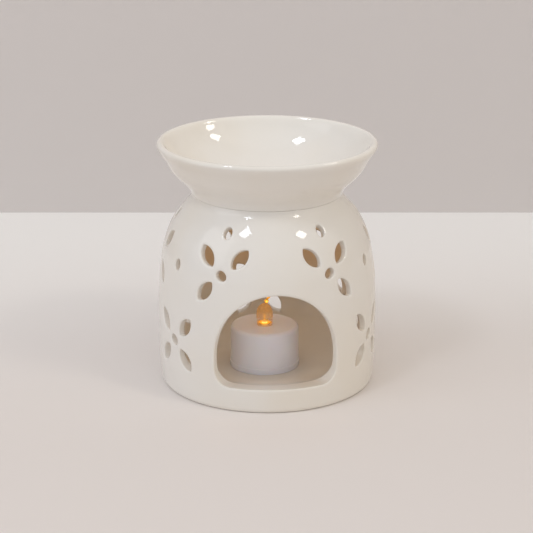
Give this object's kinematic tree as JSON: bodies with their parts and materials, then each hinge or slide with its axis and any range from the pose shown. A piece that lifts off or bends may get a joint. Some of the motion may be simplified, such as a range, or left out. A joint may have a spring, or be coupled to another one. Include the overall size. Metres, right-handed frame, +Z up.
{
  "type": "essential oil burner",
  "caption": "Round glazed ceramic oil burner: pierced pot with a front arch, lift-off dish on top, and a battery tealight standing inside.",
  "frame": {"origin": "centre of the foot ring, on the table that the pot stands on", "axes": "+Z up; the arch faces -Y; +X to the right for someone who looks into the arch"},
  "size_m": [0.119, 0.1185, 0.1336],
  "materials": {
    "glazed_ceramic": "glossy glaze",
    "housing_plastic": "smooth gloss",
    "flame_plastic": "translucent, lit from inside",
    "carrier_plastic": "moulded",
    "lamp_epoxy": "clear amber",
    "tinned_wire": "tinned",
    "spring_strip": "plated spring strip",
    "cell_steel": "nickel plated",
    "gasket_plastic": "moulded"
  },
  "bodies": {
    "burner": {"burner_body": "glazed_ceramic"},
    "dish": {"oil_dish": "glazed_ceramic"},
    "tealight": {"tealight_shell": "housing_plastic", "flame_lens": "flame_plastic", "led_lamp": "lamp_epoxy", "led_anode_lead": "tinned_wire", "led_cathode_lead": "tinned_wire", "lamp_carrier": "carrier_plastic", "positive_contact": "spring_strip", "negative_contact": "spring_strip", "cell_can": "cell_steel", "cell_cap": "cell_steel", "cell_gasket": "gasket_plastic", "base_plate": "housing_plastic"},
    "switch": {"switch_knob": "gasket_plastic", "switch_wiper": "spring_strip"},
    "door": {"battery_door": "housing_plastic"}
  },
  "joints": [
    {"name": "dish_lift", "type": "slide", "parent": "burner", "child": "dish", "axis": [0, 0, 1], "range_m": [0, 0.04]},
    {"name": "tealight_draw", "type": "slide", "parent": "burner", "child": "tealight", "axis": [0, -0.9613, 0.2756], "range_m": [0, 0.11]},
    {"name": "switch_slide", "type": "slide", "parent": "tealight", "child": "switch", "axis": [-1, 0, 0], "range_m": [0, 0.0022]},
    {"name": "door_twist", "type": "hinge", "parent": "tealight", "child": "door", "pos_m": [-0.0015, -0.004, 0.0085], "axis": [0, 0, 1], "range_deg": [0, 30]}
  ]
}
